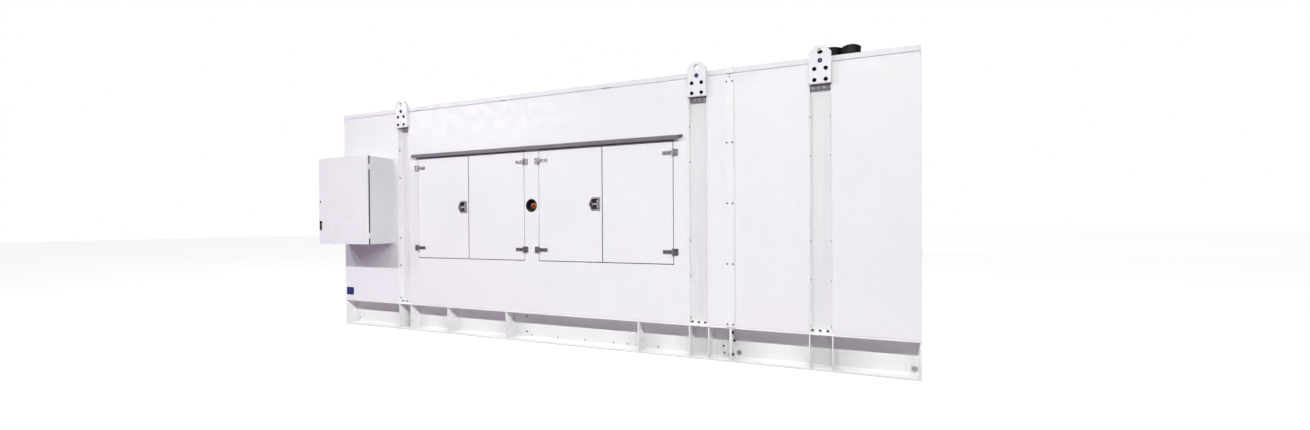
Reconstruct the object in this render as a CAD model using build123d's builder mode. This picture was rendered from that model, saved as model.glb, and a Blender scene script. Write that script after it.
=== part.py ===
from build123d import *
import os

# Containerised generator set: a bolted base frame, two joined canopy sections with recessed
# lifting posts, double service doors, a control cabinet and two exhaust outlets on the roof.
# Millimetres. X runs along the set with the cabinet end at -X, the doors face -Y, Z is up.
# The origin is on the ground under the middle of the base.

os.makedirs("parts", exist_ok=True)

# Widths along the front, from the left end
left_panel = 920
post_width = 184
left_pier = 134
door_pitch = 752
middle_pier = 178
right_pier = 146
narrow_panel = 204
end_panel = 680
right_panel = 658

# Cross-section
width = 2200
base_height = 310
wall_height = 2242
wall_thickness = 80
roof_thickness = 48
roof_edge = 6
roof_groove = 4
roof_groove_depth = 8
fold_radius = 4
wall_bevel = 8
foot_bevel = 4
panel_gap = 4

# Base frame
flange_depth = 130
flange_thickness = 12
web_thickness = 10
web_radius = 8
plate_thickness = 10
plate_setback = 3
plate_snipe = 12
first_plate = 558
second_plate = 1376
third_plate = 522
drain_radius = 15
drain_inset = 64
plug_radius = 21
plug_stand = 8
plug_height = 57
left_plug_inset = 52
right_plug_inset = 37
member_width = 110
member_web = 8
floor_thickness = 8

# Lifting posts and lugs; the heights of a lug are measured from the top of the roof
post_web = 8
foot_thickness = 14
lug_side_margin = 3
lug_thickness = 28
lug_edge = 2
lug_drop = 225
lug_shoulder_rise = 28
lug_crown_rise = 77
lug_top_rise = 83
lug_crown = 90
eye_rise = 37
eye_radius = 24
link_drop = 150
link_hole_radius = 17.5
link_spacing = 90

# Doors
sill_height = 539
door_height = 1157
door_gap = 8
leaf_thickness = 40
leaf_bevel = 10
seal_gap = 6
frame_lip = 25

# Strap hinges
hinge_inset = 119
hinge_lift = 1
knuckle_radius = 9
knuckle_room = 2
knuckle_gap = 0.5
pin_radius = 5
pin_clearance = 0.25
strap_length = 100
strap_height = 33
strap_thickness = 6
bracket_length = 45
bracket_height = 62

# Drip gutters
gutter_depth = 45
gutter_reach = 36
gutter_slope = 14
gutter_sheet = 3
gutter_overhang = 92

# Recessed T-handle latches
latch_margin = 27
latch_width = 124
latch_size = 128
latch_point = 34
dish_depth = 24
dish_sheet = 2
dish_rim = 9
pivot_inset = 38
handle_reach = 64
handle_bar = 84
handle_thickness = 8
handle_width = 14
handle_eye = 5
handle_pin = 3
handle_sink = 8
ear_width = 14
ear_lip = 5
ear_gap = 1
ear_thickness = 4

# Emergency stop
stop_radius = 62
stop_depth = 50
stop_sheet = 2
stop_rim = 4
ring_radius = 30
ring_depth = 14
button_radius = 20
button_height = 14
button_lift = 11
button_edge = 3
stem_radius = 9
stem_clearance = 1
stem_drop = 5

# Control cabinet
cabinet_inset = 41
cabinet_rise = 706
cabinet_width = 800
cabinet_height = 1000
cabinet_depth = 300
cabinet_sheet = 3
cabinet_door_depth = 20
cabinet_seam = 6
cabinet_rim = 28
cabinet_hinge_out = 6
cabinet_hinge_inset = 110
cabinet_hinge_leaf = 8
cabinet_knuckle = 5
cabinet_knuckle_length = 30
cabinet_pin = 2.5
lock_inset = 35
lock_rise = 496
lock_radius = 13
handle_rise = 256
lever_length = 84
lever_width = 20
lever_stand = 12

# Drain slots in the roof edge and the cover strips at the joint of the two sections
slot_length = 90
slot_height = 8
slot_depth = 16
slot_first = 318
slot_pitch = 1240
slot_count = 3
strip_width = 80
strip_thickness = 6
strip_drop = 42

# Air louvres in the end walls
louvre_width = 1500
louvre_sill = 310
louvre_head = 332
louvre_frame = 40
louvre_depth = 60
blade_count = 13
blade_thickness = 4
blade_tilt = 40

# Exhaust outlets, with heights above the roof; the flat one stands behind the domed one
flat_outlet = 152
flat_outlet_radius = 150
flat_outlet_rise = 473
domed_outlet = 356
domed_outlet_radius = 100
domed_outlet_rise = 435
dome_rise = 30
outlet_stagger = 75
flashing_margin = 40
flashing_height = 14

# Places along the set, worked out from the widths above
length = (
    left_panel + post_width + left_pier + 2 * door_pitch + middle_pier + 2 * door_pitch
    + right_pier + post_width + narrow_panel + end_panel + post_width + right_panel
)
left_end = -length / 2
right_end = length / 2
post_1 = left_end + left_panel
doorway_1 = post_1 + post_width + left_pier
doorway_2 = doorway_1 + 2 * door_pitch + middle_pier
post_2 = doorway_2 + 2 * door_pitch + right_pier
joint = post_2 + post_width + narrow_panel
post_3 = joint + end_panel
posts = (post_1, post_2, post_3)
doorways = (doorway_1, doorway_2)

# Places across and up the set
front = -width / 2
rear = width / 2
wall_top = base_height + wall_height
roof_top = wall_top + roof_thickness
door_bottom = base_height + sill_height
door_top = door_bottom + door_height
door_middle = (door_bottom + door_top) / 2
wall_face = Plane.XZ.offset(-front)


def write(piece, name):
    """Label a finished piece and write it to its own file."""
    piece.part.label = name
    export_step(piece.part, f"parts/{name}.step")


def face_rectangle(x_low, x_high, z_low, z_high):
    """A rectangle on an upright face, given by its edges."""
    with Locations(((x_low + x_high) / 2, (z_low + z_high) / 2)):
        Rectangle(x_high - x_low, z_high - z_low)


def block(x_low, x_high, y_low, y_high, z_low, z_high):
    """An upright block given by its faces, added to the piece being made."""
    with BuildSketch(Plane.XY.offset(z_low)) as plan:
        with Locations(((x_low + x_high) / 2, (y_low + y_high) / 2)):
            Rectangle(x_high - x_low, y_high - y_low)
    extrude(plan.sketch, amount=z_high - z_low)


def disc(y, x, z, radius, thickness, mode=Mode.ADD):
    """A round piece that stands out from the upright plane at y, or is sunk into it."""
    with BuildSketch(Plane.XZ.offset(-y)) as face:
        with Locations((x, z)):
            Circle(radius)
    extrude(face.sketch, amount=thickness, mode=mode)


def wall_panel(x_low, x_high, z_low, z_high):
    """One front wall panel: upright outer edges folded over a radius, bevels under the roof
    and above the rail."""
    with BuildSketch(Plane.YZ.offset(x_low)) as profile:
        with Locations((front + wall_thickness / 2, (z_low + z_high) / 2)):
            Rectangle(wall_thickness, z_high - z_low)
        if z_low == base_height:
            chamfer(profile.vertices().group_by(Axis.X)[0].sort_by(Axis.Y)[0], foot_bevel)
        if z_high == wall_top:
            chamfer(profile.vertices().group_by(Axis.X)[0].sort_by(Axis.Y)[-1], wall_bevel)
    extrude(profile.sketch, amount=x_high - x_low)
    outer = edges(Select.LAST).filter_by(Axis.Z).group_by(Axis.Y)[0]
    fillet(outer, radius=fold_radius)


def twin(piece):
    """The same piece on the rear side."""
    with BuildPart() as copy:
        mirror(piece.part, about=Plane.XZ)
    return copy


def both_sides(piece):
    """The piece together with its twin on the rear side."""
    with BuildPart() as pair:
        add(piece.part)
        mirror(piece.part, about=Plane.XZ)
    return pair


# Side rails of the base: a deep channel for each section, open to the outside
web_face = front + flange_depth - web_thickness


def side_rail(x_low, x_high):
    """A channel with its web inside and a radius where the web meets the flanges."""
    with BuildPart() as rail:
        with BuildSketch(Plane.YZ.offset(x_low)) as profile:
            with BuildLine():
                Polyline(
                    (front, 0), (front + flange_depth, 0),
                    (front + flange_depth, base_height), (front, base_height),
                    (front, base_height - flange_thickness),
                    (web_face, base_height - flange_thickness), (web_face, flange_thickness),
                    (front, flange_thickness), close=True,
                )
            make_face()
            fillet(profile.vertices().group_by(Axis.X)[1], radius=web_radius)
        extrude(amount=x_high - x_low)
    return rail


main_rail = side_rail(left_end, joint)
with main_rail:
    disc(web_face, left_end + drain_inset, plug_height, drain_radius, -web_thickness,
         Mode.SUBTRACT)
write(both_sides(main_rail), "main_rails")

end_rail = side_rail(joint, right_end)
with end_rail:
    for plug_x in (joint + left_plug_inset, right_end - right_plug_inset):
        disc(web_face, plug_x, plug_height, plug_radius, plug_stand)
write(both_sides(end_rail), "end_rails")


# Plates that divide the pockets of the rails, sniped clear of the radius beside the web
def rail_plates(places):
    with BuildPart() as plates:
        for place in places:
            with BuildSketch(Plane.YZ.offset(place)) as profile:
                with Locations(((front + plate_setback + web_face) / 2, base_height / 2)):
                    Rectangle(web_face - front - plate_setback, base_height - 2 * flange_thickness)
                chamfer(profile.vertices().group_by(Axis.X)[-1], length=plate_snipe)
            extrude(amount=plate_thickness)
    return plates


def post_plates(place):
    """The places of the plates under both edges of a post."""
    return [place - plate_thickness / 2, place + post_width - plate_thickness / 2]


main_places = [
    left_end,
    *post_plates(post_1),
    post_1 + post_width + first_plate,
    post_1 + post_width + second_plate,
    post_2 - third_plate,
    *post_plates(post_2),
    joint - plate_thickness,
]
end_places = [joint, *post_plates(post_3), right_end - plate_thickness]
write(both_sides(rail_plates(main_places)), "main_rail_plates")
write(both_sides(rail_plates(end_places)), "end_rail_plates")

# Cross members of the base, standing between the rails under the floor
rail_back = front + flange_depth
member_top = base_height - floor_thickness
under_posts = [place + post_width / 2 for place in posts]
member_places = [
    left_end + member_width / 2,
    *under_posts,
    under_posts[0] / 2,
    0,
    under_posts[1] / 2,
    right_end - member_width / 2,
]
with BuildPart() as cross_members:
    for place in member_places:
        with BuildSketch(Plane.XZ.offset(-rail_back)):
            with Locations((place, member_top / 2)):
                Rectangle(member_width, member_top)
            for side in (-1, 1):
                with Locations((place + side * (member_width + member_web) / 4, member_top / 2)):
                    Rectangle(
                        (member_width - member_web) / 2,
                        member_top - 2 * flange_thickness,
                        mode=Mode.SUBTRACT,
                    )
        extrude(amount=2 * rail_back)
write(cross_members, "cross_members")

# Floor plates of the two sections, level with the top of the rails
with BuildPart() as floor_plates:
    for low, high in ((left_end, joint - panel_gap / 2), (joint + panel_gap / 2, right_end)):
        block(low, high, rail_back, -rail_back, member_top, base_height)
write(floor_plates, "floor_plates")

# Lifting posts: channels set into the wall with their open side out, on bolted feet
with BuildPart() as front_posts:
    for place in posts:
        middle = place + post_width / 2
        with BuildSketch(Plane.XY.offset(base_height)):
            with Locations((middle, front + wall_thickness / 2)):
                Rectangle(post_width, wall_thickness)
            with Locations((middle, front + (wall_thickness - post_web) / 2)):
                Rectangle(
                    post_width - 2 * post_web, wall_thickness - post_web, mode=Mode.SUBTRACT
                )
        extrude(amount=wall_height)
        block(
            place + post_web, place + post_width - post_web,
            front + plate_setback, front + wall_thickness - post_web,
            base_height, base_height + foot_thickness,
        )
write(both_sides(front_posts), "lifting_posts")

# Lifting lugs: thick plates welded across the posts, with an eye above the roof line
with BuildPart() as front_lugs:
    for place in posts:
        middle = place + post_width / 2
        half = post_width / 2 - lug_side_margin
        crown = lug_crown / 2
        crown_low = roof_top + lug_crown_rise
        with BuildSketch(wall_face):
            with BuildLine():
                Polyline(
                    (middle - crown, crown_low), (middle - half, roof_top + lug_shoulder_rise),
                    (middle - half, roof_top - lug_drop), (middle + half, roof_top - lug_drop),
                    (middle + half, roof_top + lug_shoulder_rise), (middle + crown, crown_low),
                )
                ThreePointArc(
                    (middle + crown, crown_low), (middle, roof_top + lug_top_rise),
                    (middle - crown, crown_low),
                )
            make_face()
            with Locations((middle, roof_top + eye_rise)):
                Circle(eye_radius, mode=Mode.SUBTRACT)
            with Locations((middle, roof_top - link_drop)):
                with GridLocations(link_spacing, link_spacing, 2, 2):
                    Circle(link_hole_radius, mode=Mode.SUBTRACT)
        extrude(amount=lug_thickness)
    for face in front_lugs.faces().group_by(Axis.Y)[0]:
        chamfer(face.outer_wire().edges(), length=lug_edge)
write(both_sides(front_lugs), "lifting_lugs")

# Front walls: plain panels between the posts, and the pieces round the two doorways
doorways_left = post_1 + post_width
doorways_right = post_2
with BuildPart() as front_left_wall:
    wall_panel(left_end, post_1, base_height, wall_top)
write(front_left_wall, "front_left_wall")

right_panels = (
    (post_2 + post_width, joint - panel_gap / 2),
    (joint + panel_gap / 2, post_3),
    (post_3 + post_width, right_end),
)
with BuildPart() as front_right_walls:
    for low, high in right_panels:
        wall_panel(low, high, base_height, wall_top)
write(front_right_walls, "front_right_walls")

with BuildPart() as front_sill_wall:
    wall_panel(doorways_left, doorways_right, base_height, door_bottom)
write(front_sill_wall, "front_sill_wall")

with BuildPart() as front_lintel_wall:
    wall_panel(doorways_left, doorways_right, door_top, wall_top)
write(front_lintel_wall, "front_lintel_wall")

with BuildPart() as front_side_piers:
    wall_panel(doorways_left, doorway_1, door_bottom, door_top)
    wall_panel(doorways_right - right_pier, doorways_right, door_bottom, door_top)
write(front_side_piers, "front_side_piers")

stop_x = doorway_2 - middle_pier / 2
cup_radius = stop_radius + stop_sheet
with BuildPart() as front_middle_pier:
    wall_panel(doorway_2 - middle_pier, doorway_2, door_bottom, door_top)
    disc(front, stop_x, door_middle, cup_radius, -stop_depth - stop_sheet, Mode.SUBTRACT)
write(front_middle_pier, "front_middle_pier")

# Rear walls: the same panels, with the two doorways cut in the middle one
with BuildPart() as plain_side:
    wall_panel(left_end, post_1, base_height, wall_top)
    wall_panel(doorways_left, doorways_right, base_height, wall_top)
    for low, high in right_panels:
        wall_panel(low, high, base_height, wall_top)
    with BuildSketch(wall_face):
        for place in doorways:
            face_rectangle(place, place + 2 * door_pitch, door_bottom, door_top)
    extrude(amount=-wall_thickness, mode=Mode.SUBTRACT)
write(twin(plain_side), "rear_walls")

# Inner frames of the doorways, with a lip that carries the doors' seal
with BuildPart() as front_frames:
    frame_front = front + leaf_thickness + seal_gap
    with BuildSketch(Plane.XZ.offset(-frame_front)):
        for place in doorways:
            face_rectangle(place, place + 2 * door_pitch, door_bottom, door_top)
            with Locations((place + door_pitch, door_middle)):
                Rectangle(
                    2 * (door_pitch - frame_lip), door_height - 2 * frame_lip, mode=Mode.SUBTRACT
                )
    extrude(amount=frame_front - front - wall_thickness)
write(both_sides(front_frames), "door_frames")

# Door leaves: each hangs on the outer edge of its doorway and meets its twin in the middle
leaf_low = door_bottom + door_gap
leaf_high = door_top - door_gap


def latch_outline(x_right, grow):
    """The five-sided outline of a latch dish, pointed to the left, grown by a margin."""
    right = x_right + grow
    left = x_right - latch_width - grow
    half = latch_size / 2 + grow
    shoulder = x_right - latch_width + latch_point
    with BuildLine() as outline:
        Polyline(
            (left, door_middle), (shoulder, door_middle - half),
            (right, door_middle - half), (right, door_middle + half),
            (shoulder, door_middle + half), close=True,
        )
    make_face(outline.edges())


def door_leaf(doorway, right_hand):
    """One leaf in its closed place; a left leaf also has the pocket for its latch."""
    meeting = doorway + door_pitch
    if right_hand:
        low, high = meeting + door_gap / 2, doorway + 2 * door_pitch - door_gap
    else:
        low, high = doorway + door_gap, meeting - door_gap / 2
    with BuildPart() as leaf:
        with BuildSketch(wall_face):
            face_rectangle(low, high, leaf_low, leaf_high)
        extrude(amount=-leaf_thickness)
        uprights = leaf.edges().filter_by(Axis.Z)
        free = uprights.group_by(Axis.X)[0 if right_hand else -1].sort_by(Axis.Y)[-1]
        chamfer(free, length=leaf_bevel)
        fillet(leaf.edges().filter_by(Axis.Z).group_by(Axis.Y)[0], radius=fold_radius / 2)
        if not right_hand:
            with BuildSketch(wall_face):
                latch_outline(meeting - latch_margin, -dish_rim)
            extrude(amount=-dish_depth, mode=Mode.SUBTRACT)
    return leaf


leaves = [door_leaf(place, right_hand) for place in doorways for right_hand in (False, True)]
for number, leaf in enumerate(leaves, start=1):
    write(leaf, f"door_{number}")
with BuildPart() as rear_doors:
    for leaf in leaves:
        mirror(leaf.part, about=Plane.XZ)
write(rear_doors, "rear_doors")

# Strap hinges: a strap with one knuckle on the leaf, a bracket with two knuckles and the pin
# on the wall
hinge_y = front - knuckle_radius - hinge_lift
hinge_heights = (door_bottom + hinge_inset, door_top - hinge_inset)
hinge_places = []
for place in doorways:
    hinge_places += [(place + door_gap / 2, 1), (place + 2 * door_pitch - door_gap / 2, -1)]


def barrel(x, y, radius, z_low, height, mode=Mode.ADD):
    """An upright round bar, or with another mode a round hole."""
    with BuildSketch(Plane.XY.offset(z_low)) as end:
        with Locations((x, y)):
            Circle(radius)
    extrude(end.sketch, amount=height, mode=mode)


def hinge_strap(axis_x, side, z):
    """The leaf's half; side is +1 where the leaf lies to the right of its hinge."""
    near = axis_x + side * door_gap / 2
    far = near + side * strap_length
    low = z - strap_height / 2
    block(min(near, far), max(near, far), front - strap_thickness, front, low, low + strap_height)
    barrel(axis_x, hinge_y, knuckle_radius, low, strap_height)
    barrel(axis_x, hinge_y, pin_radius + pin_clearance, low, strap_height, Mode.SUBTRACT)


def hinge_bracket(axis_x, side, z):
    """The wall's half, with the pin fixed in its two knuckles."""
    edge = axis_x - side * door_gap / 2
    notch = axis_x - side * (knuckle_radius + knuckle_room)
    far = edge - side * bracket_length
    low = z - bracket_height / 2
    plate_y = front - strap_thickness
    block(min(notch, far), max(notch, far), plate_y, front, low, low + bracket_height)
    ear = (bracket_height - strap_height) / 2 - knuckle_gap
    for ear_low in (low, low + bracket_height - ear):
        block(min(notch, edge), max(notch, edge), plate_y, front, ear_low, ear_low + ear)
        barrel(axis_x, hinge_y, knuckle_radius, ear_low, ear)
    barrel(axis_x, hinge_y, pin_radius, low, bracket_height)


straps = []
for number, (axis_x, side) in enumerate(hinge_places, start=1):
    with BuildPart() as strap_pair:
        for z in hinge_heights:
            hinge_strap(axis_x, side, z)
    straps.append(strap_pair)
    write(strap_pair, f"door_{number}_straps")
with BuildPart() as front_hinge_brackets:
    for axis_x, side in hinge_places:
        for z in hinge_heights:
            hinge_bracket(axis_x, side, z)
write(front_hinge_brackets, "front_hinge_brackets")
write(twin(front_hinge_brackets), "rear_hinge_brackets")
with BuildPart() as rear_straps:
    for strap_pair in straps:
        mirror(strap_pair.part, about=Plane.XZ)
write(rear_straps, "rear_straps")

# Drip gutters over the doors: a folded sheet with a sloping top, a hanging lip and mitred ends
with BuildPart() as front_gutter:
    gutter_left = doorway_1 - gutter_overhang
    gutter_right = doorway_2 + 2 * door_pitch + gutter_overhang
    gutter_bottom = door_top - hinge_lift
    gutter_top = gutter_bottom + gutter_depth
    lip = front - gutter_reach
    lip_top = gutter_top - gutter_slope
    leg_bottom = gutter_bottom + gutter_slope
    with BuildSketch(Plane.YZ.offset(gutter_left)):
        with BuildLine():
            Polyline(
                (front, gutter_top), (lip, lip_top), (lip, gutter_bottom),
                (lip + gutter_sheet, gutter_bottom), (lip + gutter_sheet, lip_top - gutter_sheet),
                (front - gutter_sheet, gutter_top - 2 * gutter_sheet),
                (front - gutter_sheet, leg_bottom), (front, leg_bottom), close=True,
            )
        make_face()
    extrude(amount=gutter_right - gutter_left)
    for end, inward in ((gutter_left, 1), (gutter_right, -1)):
        with BuildSketch(Plane.XY.offset(gutter_bottom)):
            with BuildLine():
                Polyline((end, front - gutter_sheet), (end, lip),
                         (end + inward * (gutter_reach - gutter_sheet), lip), close=True)
            make_face()
        extrude(amount=gutter_depth, mode=Mode.SUBTRACT)
write(both_sides(front_gutter), "gutters")

# Recessed latches: a pressed pan with a flat rim, two ears in it and the pin of the T-handle
pin_y = front + handle_sink


def latch_dish(meeting):
    right = meeting - latch_margin
    pivot_x = right - latch_width + pivot_inset
    half = handle_width / 2 + ear_gap
    with BuildPart() as dish:
        with BuildSketch(wall_face):
            latch_outline(right, 0)
        extrude(amount=dish_sheet)
        with BuildSketch(wall_face):
            latch_outline(right, -dish_rim)
        extrude(amount=-dish_depth)
        with BuildSketch(Plane.XZ.offset(-front + dish_sheet)):
            latch_outline(right, -dish_rim - dish_sheet)
        extrude(amount=-dish_depth, mode=Mode.SUBTRACT)
        for ear_low in (door_middle - half - ear_thickness, door_middle + half):
            block(pivot_x - ear_width / 2, pivot_x + ear_width / 2, pin_y - ear_lip,
                  front + dish_depth - dish_sheet / 2, ear_low, ear_low + ear_thickness)
        reach = half + ear_thickness
        barrel(pivot_x, pin_y, handle_pin, door_middle - reach, 2 * reach)
    return dish


def latch_handle(meeting):
    """The T-handle folded flat: an eye on the pin, a stem and a cross bar."""
    pivot_x = meeting - latch_margin - latch_width + pivot_inset
    half = handle_thickness / 2
    low = door_middle - handle_width / 2
    with BuildPart() as handle:
        block(pivot_x, pivot_x + handle_reach, pin_y - half, pin_y + half,
              low, low + handle_width)
        block(pivot_x + handle_reach - handle_width, pivot_x + handle_reach,
              pin_y - half, pin_y + half,
              door_middle - handle_bar / 2, door_middle + handle_bar / 2)
        barrel(pivot_x, pin_y, handle_eye, low, handle_width)
        barrel(pivot_x, pin_y, handle_pin + pin_clearance, low, handle_width, Mode.SUBTRACT)
    return handle


dishes = [latch_dish(place + door_pitch) for place in doorways]
handles = [latch_handle(place + door_pitch) for place in doorways]
for number, dish, handle in zip((1, 3), dishes, handles):
    write(dish, f"latch_dish_{number}")
    write(handle, f"latch_handle_{number}")
with BuildPart() as rear_latches:
    for dish in dishes:
        mirror(dish.part, about=Plane.XZ)
write(rear_latches, "rear_latches")

# Emergency stop: a round cup sunk in the middle pier, a collar and a mushroom button whose
# stem slides in the collar
with BuildPart() as stop_cup:
    disc(front, stop_x, door_middle, cup_radius + stop_rim, stop_sheet)
    disc(front, stop_x, door_middle, cup_radius, -stop_depth - stop_sheet)
    disc(front - stop_sheet, stop_x, door_middle, stop_radius, -stop_depth - stop_sheet,
         Mode.SUBTRACT)
write(stop_cup, "stop_cup")

stop_floor = front + stop_depth
collar_face = stop_floor - ring_depth
with BuildPart() as stop_collar:
    disc(stop_floor, stop_x, door_middle, ring_radius, ring_depth)
    disc(stop_floor, stop_x, door_middle, stem_radius + stem_clearance, ring_depth, Mode.SUBTRACT)
write(stop_collar, "stop_collar")

with BuildPart() as stop_button:
    disc(collar_face + stem_drop, stop_x, door_middle, stem_radius, stem_drop + button_lift)
    disc(collar_face - button_lift, stop_x, door_middle, button_radius, button_height)
    crown = stop_button.edges().filter_by(GeomType.CIRCLE).group_by(Axis.Y)[0]
    chamfer(crown, length=button_edge)
write(stop_button, "stop_button")

# Control cabinet: a sheet steel box on the left wall, open to its door
cabinet_left = left_end + cabinet_inset
cabinet_right = cabinet_left + cabinet_width
cabinet_bottom = base_height + cabinet_rise
cabinet_top = cabinet_bottom + cabinet_height
cabinet_front = front - cabinet_depth
body_front = cabinet_front + cabinet_door_depth + cabinet_seam
cabinet_hinge_x = cabinet_right + cabinet_hinge_out
cabinet_hinge_y = body_front - cabinet_seam / 2
cabinet_hinges = (cabinet_bottom + cabinet_hinge_inset, cabinet_top - cabinet_hinge_inset)


def cabinet_rectangle(margin):
    """The cabinet's outline, drawn in by a margin."""
    face_rectangle(cabinet_left + margin, cabinet_right - margin,
                   cabinet_bottom + margin, cabinet_top - margin)


with BuildPart() as control_cabinet:
    with BuildSketch(wall_face):
        cabinet_rectangle(0)
    extrude(amount=front - body_front)
    with BuildSketch(Plane.XZ.offset(-front + cabinet_sheet)):
        cabinet_rectangle(cabinet_sheet)
    extrude(amount=front - body_front - 2 * cabinet_sheet, mode=Mode.SUBTRACT)
    with BuildSketch(Plane.XZ.offset(-front + cabinet_sheet)):
        cabinet_rectangle(cabinet_rim)
    extrude(amount=front - body_front, mode=Mode.SUBTRACT)
    for z in cabinet_hinges:
        knuckle_top = z - cabinet_knuckle_length / 2 - knuckle_gap
        low = z - 1.5 * cabinet_knuckle_length
        block(cabinet_right - cabinet_sheet, cabinet_hinge_x, body_front,
              body_front + cabinet_hinge_leaf, low, knuckle_top)
        barrel(cabinet_hinge_x, cabinet_hinge_y, cabinet_knuckle, low, knuckle_top - low)
        barrel(cabinet_hinge_x, cabinet_hinge_y, cabinet_pin,
               z - cabinet_knuckle_length, 1.5 * cabinet_knuckle_length)
write(control_cabinet, "control_cabinet")

with BuildPart() as cabinet_door:
    with BuildSketch(Plane.XZ.offset(-cabinet_front)):
        cabinet_rectangle(0)
    extrude(amount=-cabinet_door_depth)
    with BuildSketch(Plane.XZ.offset(-cabinet_front - cabinet_sheet)):
        cabinet_rectangle(cabinet_sheet)
    extrude(amount=-cabinet_door_depth, mode=Mode.SUBTRACT)
    door_back = cabinet_front + cabinet_door_depth
    for z in cabinet_hinges:
        low = z - cabinet_knuckle_length / 2
        block(cabinet_right - cabinet_sheet, cabinet_hinge_x,
              door_back - cabinet_hinge_leaf, door_back, low, low + cabinet_knuckle_length)
        barrel(cabinet_hinge_x, cabinet_hinge_y, cabinet_knuckle, low, cabinet_knuckle_length)
        barrel(cabinet_hinge_x, cabinet_hinge_y, cabinet_pin + pin_clearance, low,
               cabinet_knuckle_length, Mode.SUBTRACT)
    lock_x = cabinet_left + lock_inset
    disc(cabinet_front, lock_x, cabinet_bottom + lock_rise, lock_radius, lever_stand / 2)
write(cabinet_door, "cabinet_door")

with BuildPart() as cabinet_handle:
    handle_z = cabinet_bottom + handle_rise
    disc(cabinet_front, lock_x, handle_z, lock_radius, lever_stand)
    with BuildSketch(Plane.XZ.offset(-cabinet_front + lever_stand / 2)):
        with Locations((lock_x, handle_z - lever_length / 2)):
            SlotCenterToCenter(lever_length, lever_width, rotation=90)
    extrude(amount=lever_stand / 2)
write(cabinet_handle, "cabinet_handle")

# End walls between the front and rear walls, each round an air opening
louvre_low = base_height + louvre_sill
louvre_high = wall_top - louvre_head
louvre_middle = (louvre_low + louvre_high) / 2
with BuildPart() as end_walls:
    with BuildSketch(Plane.YZ.offset(left_end)):
        with Locations((0, (base_height + wall_top) / 2)):
            Rectangle(width - 2 * wall_thickness, wall_height)
        with Locations((0, louvre_middle)):
            Rectangle(louvre_width, louvre_high - louvre_low, mode=Mode.SUBTRACT)
    extrude(amount=wall_thickness)
    mirror(about=Plane.YZ)
write(end_walls, "end_walls")

# Louvres: a flat frame with sloping fixed blades from side to side
with BuildPart() as louvres:
    inside_height = louvre_high - louvre_low - 2 * louvre_frame
    with BuildSketch(Plane.YZ.offset(left_end)):
        with Locations((0, louvre_middle)):
            Rectangle(louvre_width, louvre_high - louvre_low)
            Rectangle(louvre_width - 2 * louvre_frame, inside_height, mode=Mode.SUBTRACT)
    extrude(amount=louvre_depth)
    blade_pitch = inside_height / blade_count
    blade_length = louvre_width - louvre_frame
    with BuildSketch(Plane.XZ.offset(-blade_length / 2)):
        with Locations((left_end + louvre_depth / 2, louvre_middle)):
            with GridLocations(0, blade_pitch, 1, blade_count):
                Rectangle(louvre_depth, blade_thickness, rotation=blade_tilt)
    extrude(amount=blade_length)
    mirror(about=Plane.YZ)
write(louvres, "louvres")

# Roof trays of the two sections with rounded outer edges, a shadow groove under the fascia and
# drain slots low in their sides
fascia_bottom = wall_top + roof_groove
with BuildPart() as main_roof:
    block(left_end + roof_groove_depth, joint - panel_gap / 2, front + roof_groove_depth,
          rear - roof_groove_depth, wall_top, fascia_bottom)
    block(left_end, joint - panel_gap / 2, front, rear, fascia_bottom, roof_top)
    outer = main_roof.edges().group_by(Axis.Z)[-1].sort_by(Axis.X)[:-1]
    fillet(outer, radius=roof_edge)
    slot_middle = post_1 + slot_first + (slot_count - 1) * slot_pitch / 2
    with BuildSketch(Plane.XY.offset(wall_top)):
        with Locations((slot_middle, 0)):
            with GridLocations(slot_pitch, width, slot_count, 2):
                Rectangle(slot_length, 2 * slot_depth)
    extrude(amount=slot_height, mode=Mode.SUBTRACT)
write(main_roof, "main_roof")
with BuildPart() as end_roof:
    block(joint + panel_gap / 2, right_end - roof_groove_depth, front + roof_groove_depth,
          rear - roof_groove_depth, wall_top, fascia_bottom)
    block(joint + panel_gap / 2, right_end, front, rear, fascia_bottom, roof_top)
    outer = end_roof.edges().group_by(Axis.Z)[-1].sort_by(Axis.X)[1:]
    fillet(outer, radius=roof_edge)
write(end_roof, "end_roof")

# Cover strips over the joint of the two sections: one up each side, and one over the roof with
# its ends folded down the fascia
with BuildPart() as joint_strips:
    low, high = joint - strip_width / 2, joint + strip_width / 2
    outer_front = front - strip_thickness
    cover_top = roof_top + strip_thickness
    block(low, high, outer_front, front, base_height, wall_top - strip_drop)
    block(low, high, outer_front, front, fascia_bottom, cover_top)
    mirror(about=Plane.XZ)
    block(low, high, outer_front, -outer_front, roof_top, cover_top)
write(joint_strips, "joint_strips")

# Exhaust outlets: two short stacks on one flashing, a wide flat-topped one and a slimmer one
# with a domed cap
with BuildPart() as exhaust_outlets:
    flat_x = post_3 + flat_outlet
    domed_x = post_3 + domed_outlet
    block(flat_x - flat_outlet_radius - flashing_margin,
          domed_x + domed_outlet_radius + flashing_margin,
          -outlet_stagger - domed_outlet_radius - flashing_margin,
          outlet_stagger + flat_outlet_radius + flashing_margin,
          roof_top, roof_top + flashing_height)
    barrel(flat_x, outlet_stagger, flat_outlet_radius, roof_top, flat_outlet_rise)
    barrel(domed_x, -outlet_stagger, domed_outlet_radius, roof_top, domed_outlet_rise)
    with BuildSketch(Plane.XZ.offset(outlet_stagger)):
        rim = roof_top + domed_outlet_rise
        with BuildLine():
            ThreePointArc(
                (domed_x - domed_outlet_radius, rim), (domed_x, rim + dome_rise),
                (domed_x + domed_outlet_radius, rim),
            )
            Line((domed_x + domed_outlet_radius, rim), (domed_x - domed_outlet_radius, rim))
        make_face()
        split(bisect_by=Plane.YZ.offset(domed_x))
    revolve(axis=Axis((domed_x, -outlet_stagger, 0), (0, 0, 1)))
write(exhaust_outlets, "exhaust_outlets")
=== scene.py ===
import math

import bmesh
import bpy
from mathutils import Matrix, Vector


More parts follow.
